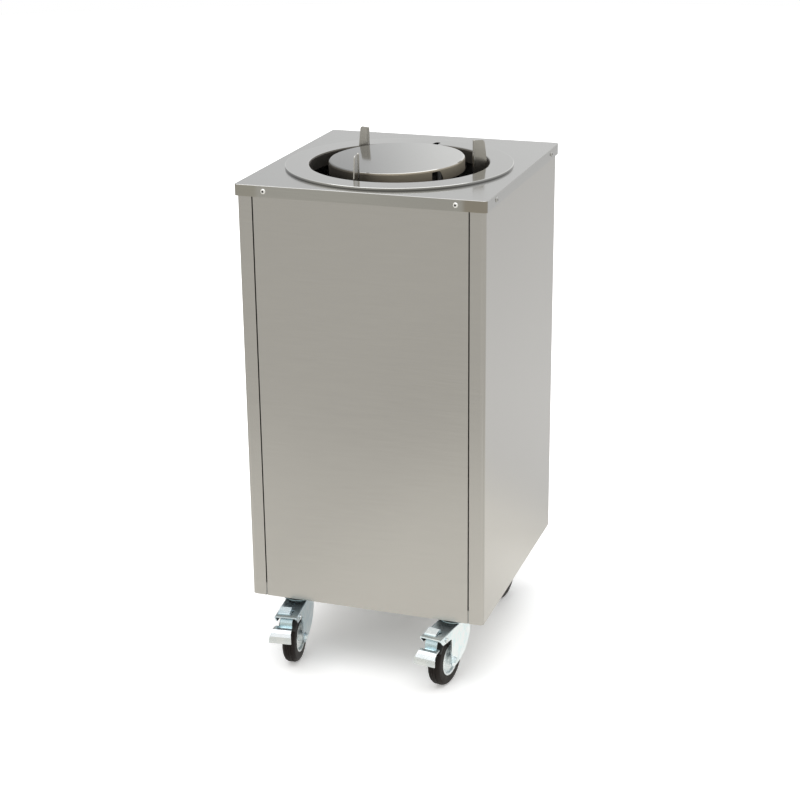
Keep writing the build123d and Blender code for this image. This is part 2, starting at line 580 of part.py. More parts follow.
half = WHEEL_W / 2
tyre_pts = [(RIM_R, half), (40, half), (45.0, half - 0.6), (47.8, half - 2.6), (49.2, half - 5.2), (49.7, half - 7.0)]
for g in (5.0, 0.0, -5.0):
    tyre_pts += [(49.9, g + 0.6), (48.8, g + 0.4), (48.8, g - 0.4), (50.0 if g else 49.9, g - 0.6)]
tyre_pts += [(49.7, 7.0 - half), (49.2, 5.2 - half), (47.8, 2.6 - half), (45.0, 0.6 - half), (40, -half), (RIM_R, -half)]
tyre = annulus(tyre_pts)
HUB = FORK_HALF - FORK_T - 0.8
rim_half = [(AXLE_R + RUN, HUB), (9, HUB), (9.6, 11.5), (14, 10.2), (21, 10.6), (23, 9.8), (23.6, 7.0), (26.2, 7.0)]
rim_half += [(27.0, 11.5), (28.0, 12.8), (30.0, 12.8), (RIM_R, 12.0)]
rim = annulus(rim_half + [(r, -s) for r, s in rim_half[::-1]])
NUT_X = FORK_HALF + BOSS_T
axle = lying(AXLE_R, 2 * (NUT_X + NUT_T + 0.8), "x")
for s in (-1, 1):
    axle += Pos(s * (NUT_X + NUT_T / 2), 0, 0) * Rot(0, 90, 0) * extrude(RegularPolygon(6.8, 6), NUT_T / 2, both=True)

pedal_path = [(60, 105.5), (80, 107), (89, 107.5), (92.5, 103), (94.5, 93), (98, 90.4), (102, 92.6),
              (106.5, 96.6), (112, 96.4), (118, 92.8), (122.6, 87.5), (125.2, 81.5), (126, 76.5)]
SHOE_R = 57.5
NECK = 11.5
TREAD_SHIFT = 3.0
TREAD_PLAN = [(96, 15.5), (104, 17.0), (112, 18.0), (118, 18.5), (122.6, 20.0), (125.2, 21.0), (130, 21.0)]


def pedal_arm(shift):
    """Brake pedal: arm on its cross pin, creased neck and a broad tread set a little to one side."""
    arm = prism_x([(-u, z) for u, z in strip(pedal_path[:8], 2.5)], -NECK, NECK)
    wing_path = [(96.5, 95.9), (101, 96.6), (106.5, 96.9)] + pedal_path[8:]
    tread = prism_x([(-u, z) for u, z in strip(wing_path, 2.5)], -30, 30)
    plan = [(w, -u) for u, w in TREAD_PLAN] + [(-w, -u) for u, w in TREAD_PLAN[::-1]]
    tread &= extrude(Pos(0, 0, 60) * make_face(Polyline(*plan, close=True)), 60)
    corner = tread.edges().filter_by(lambda e: e.center().Z < 79 and 2.3 < e.length < 3.2 and abs(e.center().X) > 20)
    if corner:
        tread = fillet(corner, 5.0)
    tread = Pos(shift, 0, 0) * tread
    inner, outer = sorted((-20 if shift > 0 else 20, NECK if shift > 0 else -NECK))
    tread -= box(inner, outer, -105, -90, 90, 102)
    arm += tread
    arm += Pos(0, -PIN_U, PIN_Z) * lying(5.5, 34, "x")
    return arm


def brake_shoe():
    """Curved pad under the pedal arm that meets the tyre."""
    side = FORK_HALF - FORK_T - 1.5
    pad = Pos(0, -TRAIL, WHEEL_R) * (lying(SHOE_R + 3, 2 * side, "x") - lying(SHOE_R, 60, "x"))
    wedge = prism_x([(-TRAIL, WHEEL_R), (-TRAIL - 70, WHEEL_R + 48), (-TRAIL - 46, WHEEL_R + 78)], -side, side)
    pad &= wedge
    pad += box(-8, 8, -78, -69, 92, 101.2)
    pad -= Pos(0, -TRAIL, WHEEL_R) * lying(SHOE_R, 60, "x")
    pad -= Pos(0, -PIN_U, PIN_Z) * lying(5.5, 40, "x")
    return pad


pin = lying(3.0, 2 * FORK_HALF + 3, "x")
for s in (-1, 1):
    pin += Pos(s * (FORK_HALF + 1.2), 0, 0) * lying(4.6, 1.8, "x")

crowns, kings = [], []
for name, sx, sy in (("fl", -1, -1), ("fr", 1, -1), ("rl", -1, 1), ("rr", 1, 1)):
    spot = Pos(sx * SWIVEL_X, sy * SWIVEL_Y, 0)
    turned = spot * Rot(0, 0, -REST_ANGLE[name])
    braked = sy < 0
    mount = spun([
        (KING_R, MOUNT_TOP), (29.5, MOUNT_TOP), (31, MOUNT_TOP - 1.5), (31, FORK_TOP + 7), (27, FORK_TOP + 3),
        (19, FORK_TOP + 3), (14, FORK_TOP + 8.5), (14, MOUNT_TOP - 3), (KING_R, MOUNT_TOP - 3),
    ])
    crowns.append(spot * mount)
    king = rod(KING_R, FORK_TOP - 9, PAN_FLOOR + 14) + Pos(0, 0, FORK_TOP - 9.4) * extrude(RegularPolygon(11, 6), 6.4)
    kings.append(spot * king)
    save(f"caster_fork_{name}", turned * fork(braked))
    at_axle = turned * Pos(0, -TRAIL, WHEEL_R)
    save(f"caster_axle_{name}", at_axle * axle)
    save(f"caster_rim_{name}", at_axle * rim)
    save(f"caster_tyre_{name}", at_axle * tyre)
    if braked:
        save(f"brake_pedal_{name}", turned * (pedal_arm(sx * TREAD_SHIFT) + Pos(0, -PIN_U, PIN_Z) * pin))
        save(f"brake_shoe_{name}", turned * brake_shoe())
save("caster_crowns", *crowns)
save("caster_kingpins", *kings)

save("lid", drilled(lid))
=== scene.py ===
"""Plate warmer cabinet: finishes, springs, small fittings, floor, light and camera round the CAD frame."""
import json
from math import cos, pi, radians, sin

import bmesh
import bpy
from mathutils import Matrix, Vector

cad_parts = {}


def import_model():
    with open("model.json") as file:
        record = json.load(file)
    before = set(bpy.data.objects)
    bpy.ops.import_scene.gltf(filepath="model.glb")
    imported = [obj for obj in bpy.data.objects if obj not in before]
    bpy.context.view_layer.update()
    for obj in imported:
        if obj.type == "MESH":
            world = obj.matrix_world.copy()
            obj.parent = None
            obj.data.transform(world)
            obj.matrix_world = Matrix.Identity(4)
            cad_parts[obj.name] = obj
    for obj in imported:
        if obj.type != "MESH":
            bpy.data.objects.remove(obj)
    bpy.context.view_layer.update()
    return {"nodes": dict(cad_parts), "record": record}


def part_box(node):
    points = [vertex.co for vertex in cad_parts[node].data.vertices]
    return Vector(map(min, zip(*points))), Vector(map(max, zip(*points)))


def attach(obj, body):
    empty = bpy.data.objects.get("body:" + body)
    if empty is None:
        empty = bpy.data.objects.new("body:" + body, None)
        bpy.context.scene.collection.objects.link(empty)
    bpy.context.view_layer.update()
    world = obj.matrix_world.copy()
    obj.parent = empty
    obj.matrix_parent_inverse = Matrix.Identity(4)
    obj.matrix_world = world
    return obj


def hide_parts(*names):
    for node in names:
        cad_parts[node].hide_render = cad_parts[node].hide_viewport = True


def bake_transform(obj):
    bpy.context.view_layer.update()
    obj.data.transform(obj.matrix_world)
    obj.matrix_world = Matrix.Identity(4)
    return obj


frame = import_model()
NODES = frame["nodes"]
MM = 0.001

# The well's centre, the cabinet's top and the platform's centre
RING_LOW, RING_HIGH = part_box("well_ring")
WELL = (RING_LOW + RING_HIGH) / 2
LID_LOW, LID_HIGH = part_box("lid")
LID_TOP = LID_HIGH.z
LID_MIDDLE = (LID_LOW + LID_HIGH) / 2
DISC_LOW, DISC_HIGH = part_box("lift_platform")
DISC = (DISC_LOW + DISC_HIGH) / 2

# Where a finish changes on a piece, and where painted shade begins and ends on the lid's lip corners
LIP_CORNER_SHADE_FROM, LIP_CORNER_SHADE_TO = 181 * MM, 193 * MM
COLLAR_RADIUS = 163.5 * MM
FLANGE_EDGE = RING_HIGH.x - WELL.x - 0.9 * MM
SKIRT_RADIUS = 121.9 * MM
SWIVEL_X, SWIVEL_Y = 153.5 * MM, 187.5 * MM
RACE_RADIUS = 31 * MM
FORK_TOP = 116 * MM
UNDER_KINGPINS = 105 * MM

# Grinding marks to the metre along x, y and z, and on turned pieces along the radius and z
UPRIGHT = (1400.0, 1400.0, 12.0)
LEVEL = (14.0, 900.0, 1100.0)
CROSSWISE = (14.0, 1300.0, 900.0)
TURNED = (1500.0, 300.0)

PANEL_COLOUR = (0.52, 0.508, 0.485)
LID_COLOUR = (0.50, 0.50, 0.49)
# a dark colour painted over the swivels for the shade under the cabinet
SWIVEL_PAINTED_SHADE = (0.07, 0.078, 0.08)
DISC_SWELL = 0.12


# ---------------------------------------------------------------- shader arithmetic
class Value:
    """One output of a shader node. Arithmetic on it adds Math nodes."""

    def __init__(self, tree, socket):
        self.tree = tree
        self.socket = socket

    def _math(self, operation, first, second=0.0):
        return self.tree.add("ShaderNodeMath", {"operation": operation}, {0: first, 1: second})

    def __add__(self, other):
        return self._math("ADD", self, other)

    __radd__ = __add__

    def __sub__(self, other):
        return self._math("SUBTRACT", self, other)

    def __rsub__(self, other):
        return self._math("SUBTRACT", other, self)

    def __mul__(self, other):
        return self._math("MULTIPLY", self, other)

    __rmul__ = __mul__

    def __truediv__(self, other):
        return self._math("DIVIDE", self, other)

    def __gt__(self, other):
        return self._math("GREATER_THAN", self, other)

    def __lt__(self, other):
        return self._math("LESS_THAN", self, other)

    def __abs__(self):
        return self._math("ABSOLUTE", self)


class Tree:
    """A node tree that is filled by expressions."""

    def __init__(self, owner):
        owner.use_nodes = True
        self.nodes = owner.node_tree.nodes
        self.links = owner.node_tree.links
        self.nodes.clear()

    def add(self, kind, settings=None, sockets=None, out=0):
        """A node of that kind, its settings made first and its sockets then set or linked."""
        node = self.nodes.new(kind)
        for key, value in (settings or {}).items():
            if key == "stops":
                ramp = node.color_ramp
                while len(ramp.elements) < len(value):
                    ramp.elements.new(0.5)
                for element, (place, colour) in zip(ramp.elements, value):
                    element.position = place
                    element.color = colour
            else:
                setattr(node, key, value)
        for key, value in (sockets or {}).items():
            socket = node.inputs[key]
            if isinstance(value, Value):
                self.links.new(value.socket, socket)
            else:
                socket.default_value = value
        return Value(self, node.outputs[out]) if node.outputs else None

    def place(self):
        """The object's own coordinates, in metres."""
        return self.add("ShaderNodeTexCoord", out="Object")

    def axis(self, which):
        """One of the x, y and z of the place."""
        return self.add("ShaderNodeSeparateXYZ", sockets={0: self.place()}, out=which)

    def moved(self, centre=(0, 0, 0), stretch=(1, 1, 1)):
        """The place measured from a centre and stretched along each axis."""
        offset = [-c * s for c, s in zip(centre, stretch)]
        return self.add(
            "ShaderNodeMapping", sockets={"Vector": self.place(), "Location": offset, "Scale": stretch},
        )

    def noise(self, vector, scale, detail=3.0, rough=0.55):
        return self.add(
            "ShaderNodeTexNoise",
            sockets={"Vector": vector, "Scale": scale, "Detail": detail, "Roughness": rough},
        )

    def spread(self, value, low, high, to_low=0.0, to_high=1.0):
        """Value between low and high led smoothly from one new end to the other, and held beyond them."""
        return self.add(
            "ShaderNodeMapRange",
            {"interpolation_type": "SMOOTHSTEP"},
            {"Value": value, "From Min": low, "From Max": high, "To Min": to_low, "To Max": to_high},
        )

    def ramp(self, value, *stops):
        """Grey led in straight lines through (value, grey) stops."""
        lows = [place for place, _ in stops]
        span = lows[-1] - lows[0]
        marks = [((place - lows[0]) / span, (grey, grey, grey, 1.0)) for place, grey in stops]
        return self.add("ShaderNodeValToRGB", {"stops": marks}, {0: (value - lows[0]) / span})

    def length(self, vector):
        return self.add("ShaderNodeVectorMath", {"operation": "LENGTH"}, {0: vector}, out="Value")

    def most(self, first, second):
        """The larger of two values."""
        return self.add("ShaderNodeMath", {"operation": "MAXIMUM"}, {0: first, 1: second})

    def mix(self, share, first, second):
        """Colour first where the share is 0, and second where it is 1."""
        return self.add(
            "ShaderNodeMix",
            {"data_type": "RGBA"},
            {"Factor": share, 6: self.colour(first), 7: self.colour(second)},
            out=2,
        )

    @staticmethod
    def colour(value):
        return value if isinstance(value, Value) else (*value, 1.0)

    def bump(self, height, depth):
        """A surface normal from a height of 0 to 1 that stands for that depth in metres."""
        return self.add("ShaderNodeBump", sockets={"Height": height, "Distance": depth})


def multiplied(tree, first, second):
    """One colour tinted by another."""
    return tree.add(
        "ShaderNodeMix", {"data_type": "RGBA", "blend_type": "MULTIPLY"},
        {"Factor": 1.0, 6: tree.colour(first), 7: tree.colour(second)}, 2,
    )


def finish(name, build):
    """A material whose surface is what build(tree) gives: a dict of Principled sockets."""
    material = bpy.data.materials.new(name)
    tree = Tree(material)
    shader = tree.add("ShaderNodeBsdfPrincipled", sockets=build(tree))
    tree.add("ShaderNodeOutputMaterial", sockets={"Surface": shader})
    return material


def steel(tree, colour, rough, grain, streak=0.05, relief=2e-6, smudge=0.05):
    """Sockets of ground sheet steel. grain is a vector field, drawn out along the grinding marks."""
    marks = tree.noise(grain, 1.0, 5.0, 0.6)
    cloud = tree.noise(tree.place(), 7.0, 3.0, 0.5)
    dark = [c * (1 - streak) for c in colour]
    light = [min(1.0, c * (1 + streak)) for c in colour]
    return {
        "Base Color": tree.mix(tree.spread(marks, 0.3, 0.7), dark, light),
        "Metallic": 1.0,
        "Roughness": rough + (marks - 0.5) * 0.12 + (cloud - 0.5) * smudge,
        "Normal": tree.bump(marks, relief),
    }


def sheet_steel(name, colour, rough, stretch, **more):
    """Sheet ground along one axis: stretch is the number of marks to the metre along x, y and z."""
    return finish(name, lambda tree: steel(tree, colour, rough, tree.moved(stretch=stretch), **more))


def lid_steel(tree):
    """Ground along X, with painted shade on the right. The folded lip is painted darker for shade, its
    corners darker and browner with painted shade.
    """
    made = steel(tree, LID_COLOUR, 0.15, tree.moved(stretch=CROSSWISE), streak=0.03, smudge=0.03)
    # painted shade: the lid is darker towards the right
    painted_dark_right = [c * 0.93 for c in LID_COLOUR]
    base_with_painted_dark_right = tree.mix(tree.spread(tree.axis("X"), -0.05, 0.15), made["Base Color"], painted_dark_right)
    half_depth = LID_HIGH.y - LID_MIDDLE.y
    ends = abs(tree.axis("Y") - LID_MIDDLE.y) > half_depth - 4 * MM
    lip = tree.spread(tree.axis("Z"), LID_TOP - 1.2 * MM, LID_TOP - 0.4 * MM, 1.0, 0.0) * ends
    # painted shade: the lip's corners darker, and browner on the right
    corner = tree.spread(abs(tree.axis("X")), LIP_CORNER_SHADE_FROM, LIP_CORNER_SHADE_TO) * lip
    painted_corner_shade = tree.mix(tree.axis("X") > 0.0, (0.80, 0.775, 0.71), (0.72, 0.665, 0.575))
    # painted shade: the folded lip is darker than the lid's top
    painted_dark_lip = tree.mix(lip, base_with_painted_dark_right, multiplied(tree, base_with_painted_dark_right, (0.92, 0.91, 0.875)))
    made["Base Color"] = tree.mix(corner, painted_dark_lip, multiplied(tree, base_with_painted_dark_right, painted_corner_shade))
    return made


def turned(tree, colour, rough, centre):
    """Sockets of steel polished on a lathe, and the distance from its upright axis at centre."""
    radius = tree.length(tree.moved(centre, (1, 1, 0)))
    marks = tree.add(
        "ShaderNodeCombineXYZ", sockets={0: radius * TURNED[0], 1: tree.axis("Z") * TURNED[1]},
    )
    return steel(tree, colour, rough, marks, streak=0.03, smudge=0.03), radius


def ring_steel(tree):
    """The flange is polished, with painted shade on the right; its collar is rough and painted dark for
    the shade inside the well; its outer edge is painted dark where it sits on the lid and painted light
    along its top.
    """
    made, radius = turned(tree, (0.53, 0.53, 0.52), 0.11, WELL)
    collar = radius < COLLAR_RADIUS
    made["Roughness"] = tree.most(made["Roughness"], collar * 0.5)
    # painted shade: the flange is darker towards the right
    aside = tree.mix(tree.spread(tree.axis("X"), -0.15, 0.12), (1.0, 1.0, 1.0), (0.86, 0.86, 0.855))
    height = tree.axis("Z") - LID_TOP
    # painted shadow low on the flange's outer edge where it meets the lid, and a painted highlight along
    # its top
    painted_contact_shade_and_highlight = tree.ramp(
        height, (0.0, 0.22), (0.9 * MM, 0.42), (2.2 * MM, 0.78), (3.6 * MM, 1.1), (4.7 * MM, 1.5),
    )
    edge = tree.mix(radius > FLANGE_EDGE, (1.0, 1.0, 1.0), painted_contact_shade_and_highlight)
    polished = multiplied(tree, made["Base Color"], multiplied(tree, aside, edge))
    # painted shade: the collar inside the well is painted dark
    made["Base Color"] = tree.mix(collar, polished, (0.17, 0.16, 0.145))
    return made


def disc_steel(tree):
    """The platform's turned face, slightly domed, with a painted sheen from dark on the left to bright on
    the right, and its skirt with a painted reflection, dark on the left and brown on the right.
    """
    made, radius = turned(tree, (0.5, 0.5, 0.49), 0.11, DISC)
    across = tree.axis("X") * 0.9 + (tree.axis("Y") - DISC.y) * 0.25
    # painted sheen: the turned face is dark at the front left and bright on the right
    painted_sheen = tree.mix(tree.spread(across, -0.115, 0.115), (0.54, 0.545, 0.55), (1.28, 1.28, 1.27))
    skirt = radius > SKIRT_RADIUS
    # painted reflection on the skirt: dark on the left, lighter brown on the right
    painted_skirt_reflection = tree.mix(tree.spread(tree.axis("X"), -0.08, 0.05), (0.13, 0.12, 0.105), (0.42, 0.38, 0.31))
    made["Base Color"] = tree.mix(skirt, multiplied(tree, made["Base Color"], painted_sheen), painted_skirt_reflection)
    made["Roughness"] = tree.most(made["Roughness"], skirt * 0.55)
    swell = tree.add("ShaderNodeBump", sockets={"Height": radius * radius * -1.0, "Distance": DISC_SWELL})
    tree.links.new(swell.socket, made["Normal"].socket.node.inputs["Normal"])
    return made


def plated(name, colour, tint, rough, bright=1.0):
    """A finish of zinc plate all over; the less bright, the more its chalky bloom scatters light."""
    return finish(name, lambda tree: {**zinc(tree, colour, tint, rough), "Metallic": bright})


def zinc(tree, colour, tint, rough):
    """Sockets of bright zinc plate, which is cloudy and goes from one colour to another in patches."""
    cloud = tree.noise(tree.place(), 45.0, 4.0, 0.6)
    fine = tree.noise(tree.place(), 700.0, 3.0, 0.6)
    return {
        "Base Color": tree.mix(tree.spread(cloud, 0.35, 0.68), colour, tint),
        "Metallic": 1.0,
        "Roughness": rough + (cloud - 0.5) * 0.16 + (fine - 0.5) * 0.1,
        "Normal": tree.bump(fine, 6e-6),
    }


def swivel_reach(tree):
    """Distance from the upright axis of the nearest caster's swivel."""
    aside = abs(tree.axis("X")) - SWIVEL_X
    along = abs(tree.axis("Y") - LID_MIDDLE.y) - SWIVEL_Y
    return tree.length(tree.add("ShaderNodeCombineXYZ", sockets={0: aside, 1: along}))


def swivel_zinc(tree):
    """Zinc plate on the axles; the crowns and kingpins over them are painted dark for the shade under the
    cabinet.
    """
    made = zinc(tree, (0.84, 0.91, 0.93), (0.66, 0.76, 0.80), 0.28)
    made["Base Color"] = tree.mix(tree.axis("Z") > UNDER_KINGPINS, made["Base Color"], SWIVEL_PAINTED_SHADE)
    return made


def fork_zinc(tree):
    """Zinc plate, with painted shade on the left and over the swivel race under the cabinet, greener and
    chalky on the top.
    """
    made = zinc(tree, (0.92, 0.98, 1.0), (0.78, 0.90, 0.95), 0.24)
    # painted shade: the forks are darker on the left
    shaded = tree.mix(tree.spread(tree.axis("X"), -0.06, 0.06), (0.64, 0.69, 0.73), (1.0, 1.0, 1.0))
    height = tree.axis("Z") - FORK_TOP
    reach = swivel_reach(tree)
    top = tree.spread(height, -0.2 * MM, 0.4 * MM) * tree.spread(height, 1.2 * MM, 1.6 * MM, 1.0, 0.0)
    top = top * tree.spread(reach, 82 * MM, 92 * MM, 1.0, 0.0)
    tinted = tree.mix(top, multiplied(tree, made["Base Color"], shaded), (0.66, 0.80, 0.83))
    # painted shade: the swivel race under the cabinet
    race = (height > 0.8 * MM) * (reach < RACE_RADIUS)
    made["Base Color"] = tree.mix(race, tinted, SWIVEL_PAINTED_SHADE)
    made["Roughness"] = tree.most(made["Roughness"], top * 0.42)
    made["Metallic"] = 1.0 - top * 0.4
    return made


def pedal_zinc(tree):
    """Zinc plate, bluer on the pedal's neck than on its tread."""
    made = zinc(tree, (0.76, 0.79, 0.80), (0.68, 0.73, 0.75), 0.27)
    reach = swivel_reach(tree)
    neck = tree.spread(reach, 86 * MM, 89 * MM) * tree.spread(reach, 102 * MM, 105 * MM, 1.0, 0.0)
    made["Base Color"] = tree.mix(neck, made["Base Color"], (0.60, 0.74, 0.78))
    return made


def rivet_steel(tree):
    """Bright rivet heads, painted darker on the lid's sides for shade."""
    made = zinc(tree, (0.96, 0.96, 0.95), (0.90, 0.90, 0.89), 0.42)
    sides = abs(tree.axis("X")) > LID_HIGH.x - 4 * MM
    # painted shade on the rivets in the lid's sides
    made["Base Color"] = tree.mix(sides, made["Base Color"], (0.5, 0.5, 0.49))
    return made


def moulded(name, colour, rough, grain=900.0, relief=2e-5, worn=0.25, shine=0.5):
    """Rubber or plastic with a fine grain and a little dust."""

    def build(tree):
        fine = tree.noise(tree.place(), grain, 3.0, 0.6)
        dust = tree.noise(tree.place(), 60.0, 4.0, 0.65)
        dusty = [c + (0.35 - c) * worn * 0.3 for c in colour]
        return {
            "Specular IOR Level": shine,
            "Base Color": tree.mix(tree.spread(dust, 0.45, 0.75), colour, dusty),
            "Roughness": rough + (dust - 0.5) * 0.2,
            "Normal": tree.bump(fine, relief),
        }

    return finish(name, build)


def felt(tree):
    """Matted mineral wool."""
    strands = tree.noise(tree.place(), 400.0, 6.0, 0.75)
    return {
        "Base Color": tree.mix(strands, (0.55, 0.52, 0.42), (0.80, 0.77, 0.66)),
        "Roughness": 0.95,
        "Normal": tree.bump(strands, 4e-4),
    }


def heated(tree):
    """The heater's tube, blued and browned by use."""
    patch = tree.noise(tree.place(), 30.0, 4.0, 0.6)
    return {
        "Base Color": tree.mix(tree.spread(patch, 0.3, 0.7), (0.16, 0.13, 0.11), (0.30, 0.27, 0.28)),
        "Metallic": 1.0,
        "Roughness": 0.42 + (patch - 0.5) * 0.2,
        "Normal": tree.bump(patch, 2e-5),
    }


def glowing(tree):
    """The pilot lamp's amber lens."""
    depth = tree.noise(tree.place(), 250.0, 2.0, 0.5)
    return {
        "Base Color": tree.mix(depth, (0.62, 0.20, 0.03), (0.85, 0.36, 0.06)),
        "Roughness": 0.12 + (depth - 0.5) * 0.05,
        "Coat Weight": 0.6,
        "Normal": tree.bump(depth, 3e-5),
    }


# ---------------------------------------------------------------- finishes of the slots
FINISHES = {
    "panel_steel": sheet_steel("ground_panel_steel", PANEL_COLOUR, 0.20, LEVEL, streak=0.03, smudge=0.03),
    "lid_steel": finish("ground_lid_steel", lid_steel),
    "ring_steel": finish("turned_ring_steel", ring_steel),
    "platform_steel": finish("turned_platform_steel", disc_steel),
    "fin_steel": sheet_steel("ground_fin_steel", (0.47, 0.46, 0.435), 0.26, UPRIGHT),
    "inner_steel": sheet_steel("mill_steel", (0.42, 0.42, 0.41), 0.42, UPRIGHT),
    "carrier_steel": sheet_steel("carrier_steel", (0.44, 0.44, 0.43), 0.36, UPRIGHT),
    "bright_rod": sheet_steel("drawn_rod_steel", (0.60, 0.60, 0.60), 0.18, UPRIGHT),
    "spring_steel": plated("spring_wire", (0.24, 0.235, 0.23), (0.17, 0.168, 0.165), 0.34),
    "rivet": finish("rivet_steel", rivet_steel),
    "screw": plated("screw_zinc", (0.58, 0.59, 0.60), (0.47, 0.49, 0.52), 0.3),
    "zinc": finish("fork_zinc", fork_zinc),
    "zinc_blue": finish("blue_zinc", swivel_zinc),
    "rim_zinc": plated("rim_zinc", (0.86, 0.90, 0.91), (0.74, 0.81, 0.83), 0.28, 0.6),
    "rail_steel": plated("rail_zinc", (0.50, 0.51, 0.52), (0.40, 0.42, 0.44), 0.4),
    "tyre": moulded("tyre_rubber", (0.013, 0.0095, 0.0085), 0.5, worn=0.04, shine=0.16),
    "shoe_rubber": moulded("brake_rubber", (0.03, 0.03, 0.03), 0.7),
    "nylon": moulded("bush_nylon", (0.72, 0.70, 0.64), 0.45, worn=0.1),
    "black_plastic": moulded("black_moulding", (0.028, 0.028, 0.030), 0.42),
    "rocker": moulded("gloss_moulding", (0.022, 0.022, 0.024), 0.2, worn=0.05),
    "ceramic": moulded("glazed_ceramic", (0.74, 0.71, 0.62), 0.25, 300.0, worn=0.1),
    "heater": finish("heater_tube", heated),
    "lamp": finish("lamp_lens", glowing),
    "insulation": finish("insulation_felt", felt),
}
PEDAL_FINISH = finish("pedal_zinc", pedal_zinc)
SLOT_OF = {part["node"]: part["material_slot"] for part in frame["record"]["subparts"]}


def dress():
    """Gives every CAD node the finish of its slot."""
    for name, node in NODES.items():
        node.data.materials.clear()
        own = PEDAL_FINISH if name.startswith("brake_pedal") else FINISHES[SLOT_OF[name]]
        node.data.materials.append(own)


# ---------------------------------------------------------------- pieces
def piece(name, shape, slot, body, replaces=(), smooth=True, coat=None):
    """A finished mesh as an object, riding on its body, with its slot's finish or a coat of its own."""
    mesh = bpy.data.meshes.new(name)
    shape.to_mesh(mesh)
    shape.free()
    made = bpy.data.objects.new(name, mesh)
    bpy.context.scene.collection.objects.link(made)
    mesh.materials.append(coat or FINISHES[slot])
    if smooth:
        mesh.shade_smooth()
    if replaces:
        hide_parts(*replaces)
    if body:
        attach(made, body)
    return made


def coil_spring(x, y, low, high, radius, wire, pitch):
    """A close-wound spring between two heights: a round section spun up a screw."""
    shape = bmesh.new()
    ring = bmesh.ops.create_circle(shape, segments=WIRE_SIDES, radius=wire / 2)["verts"]
    turns = round((high - low) / pitch)
    steps = STEPS_A_TURN * turns
    stand = Matrix.Translation((x + radius, y, low)) @ Matrix.Rotation(pi / 2, 4, "X")
    bmesh.ops.transform(shape, verts=ring, matrix=stand)
    bmesh.ops.spin(
        shape, geom=ring + shape.edges[:], cent=(x, y, 0), axis=(0, 0, 1),
        dvec=(0, 0, (high - low) / steps), angle=2 * pi * turns, steps=steps,
    )
    bmesh.ops.holes_fill(shape, edges=[e for e in shape.edges if e.is_boundary], sides=WIRE_SIDES)
    bmesh.ops.recalc_face_normals(shape, faces=shape.faces)
    return shape


def joined(shapes):
    """Several meshes in one."""
    whole = bmesh.new()
    for shape in shapes:
        part = bpy.data.meshes.new("part")
        shape.to_mesh(part)
        shape.free()
        whole.from_mesh(part)
        bpy.data.meshes.remove(part)
    return whole


def rod(low, high, radius, segments=16):
    """A straight round bar from one point to another."""
    shape = bmesh.new()
    along = Vector(high) - Vector(low)
    turn = along.to_track_quat("Z", "Y").to_matrix().to_4x4()
    middle = Matrix.Translation((Vector(low) + Vector(high)) / 2)
    bmesh.ops.create_cone(
        shape, cap_ends=True, segments=segments, radius1=radius, radius2=radius,
        depth=along.length, matrix=middle @ turn,
    )
    return shape


# ---------------------------------------------------------------- springs
SPRING_AZIMUTHS = (83.0, 203.0, 323.0)
SPRING_REACH = 176 * MM
COIL_RADIUS = 6 * MM
WIRE = 2 * MM
PITCH = 2.2 * MM
LOWER_END, UPPER_END = 22 * MM, 15 * MM
WIRE_SIDES = 7
STEPS_A_TURN = 18


def lift_springs():
    """Three tension springs between the hanger ring's hooks and the spider's arms."""
    low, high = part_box("lift_springs")
    coil_low = low.z + LOWER_END
    coil_high = high.z - UPPER_END
    shapes = []
    for azimuth in SPRING_AZIMUTHS:
        x = WELL.x + SPRING_REACH * cos(radians(azimuth))
        y = WELL.y + SPRING_REACH * sin(radians(azimuth))
        shapes.append(coil_spring(x, y, coil_low, coil_high, COIL_RADIUS, WIRE, PITCH))
        shapes.append(rod((x, y, coil_high), (x, y, high.z), WIRE / 2))
        shapes.append(rod((x, y, low.z + 2 * MM), (x, y, coil_low), WIRE / 2))
    springs = piece("lift_spring_coils", joined(shapes), "spring_steel", None, ["lift_springs"])
    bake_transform(springs)


# ---------------------------------------------------------------- small fittings
RIVET_X = 173.6 * MM
RIVET_Y = 186 * MM
RIVET_Z = LID_TOP - 10 * MM


def rivet_faces():
    """Where each blind rivet meets the lip, and which way it points."""
    for side, corner in ((-1, LID_LOW), (1, LID_HIGH)):
        for x in (-RIVET_X, RIVET_X):
            yield Vector((x, corner.y, RIVET_Z)), Vector((0, side, 0))
        for y in (-RIVET_Y, RIVET_Y):
            yield Vector((corner.x, LID_MIDDLE.y + y, RIVET_Z)), Vector((side, 0, 0))


def rivet_plugs(radius, low, high, segments):
    """A short round plug in each blind rivet, between two heights above the lip."""
    return joined([
        rod(spot + way * low, spot + way * high, radius, segments) for spot, way in rivet_faces()
    ])


# a near-black finish painted for the shade inside each rivet's recess
def painted_recess_shade(tree):
    return steel(tree, (0.05, 0.048, 0.045), 0.5, tree.moved(stretch=UPRIGHT))


def rivet_cores():
    """In each blind rivet the broken end of its mandrel, bright, in a ring painted dark for the shade of
    its pulled-in recess.
    """
    rings = rivet_plugs(radius=1.9 * MM, low=1.3 * MM, high=2.24 * MM, segments=24)
    dark = finish("painted_recess_shade", painted_recess_shade)
    piece("rivet_recess_shade_rings", rings, "inner_steel", "cabinet", smooth=False, coat=dark)
    tips = rivet_plugs(radius=0.6 * MM, low=1.4 * MM, high=2.18 * MM, segments=16)
    piece("rivet_mandrel_tips", tips, "inner_steel", "cabinet", smooth=False)


DIAL = Vector((-60 * MM, 0, 300 * MM))
DIAL_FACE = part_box("control_plate")[1].y
KNOB_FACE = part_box("thermostat_knob")[1].y
TICK_IN, TICK_OUT = 25.5 * MM, 29.5 * MM
END_TICK_OUT = 31 * MM
TICK_WIDTH = 1.1 * MM
TICK_COUNT = 10
TICK_TURN = radians(30)
POINTER_IN, POINTER_OUT = 6.4 * MM, 17.6 * MM
POINTER_WIDTH = 1.5 * MM
INK = 0.06 * MM


